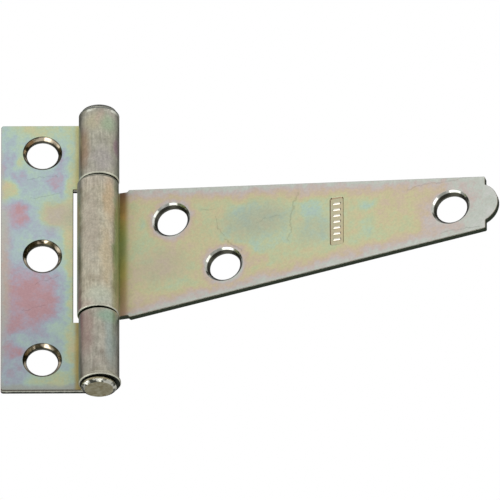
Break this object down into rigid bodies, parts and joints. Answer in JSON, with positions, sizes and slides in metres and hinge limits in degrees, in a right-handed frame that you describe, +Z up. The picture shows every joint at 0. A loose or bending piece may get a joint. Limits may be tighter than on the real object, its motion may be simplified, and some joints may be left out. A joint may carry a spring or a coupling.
{
  "type": "t hinge",
  "caption": "Light T hinge: a narrow screw plate and a long tapered strap with a lobed nose, joined by rolled knuckles on a headed pin.",
  "frame": {"origin": "centre of the butt leaf's middle screw hole, on the back face that lies against the post", "axes": "+Z up along the pin, +X from the butt leaf towards the strap, -Y the front, where the barrel stands proud and screws are driven"},
  "size_m": [0.0929, 0.021, 0.0608],
  "materials": {
    "butt_leaf": "yellow-passivated zinc plate, pale and iridescent",
    "strap_leaf": "yellow-passivated zinc plate, pale and iridescent",
    "hinge_pin": "yellow-passivated zinc plate, duller on the riveted heads"
  },
  "bodies": {
    "butt": {"butt_leaf": "butt_leaf", "hinge_pin": "hinge_pin"},
    "strap": {"strap_leaf": "strap_leaf"}
  },
  "joints": [
    {"name": "strap_swing", "type": "hinge", "parent": "butt", "child": "strap", "pos_m": [0.0106, -0.0038, -0.00025], "axis": [0, 0, -1], "range_deg": [-116.5, 179.5]}
  ]
}
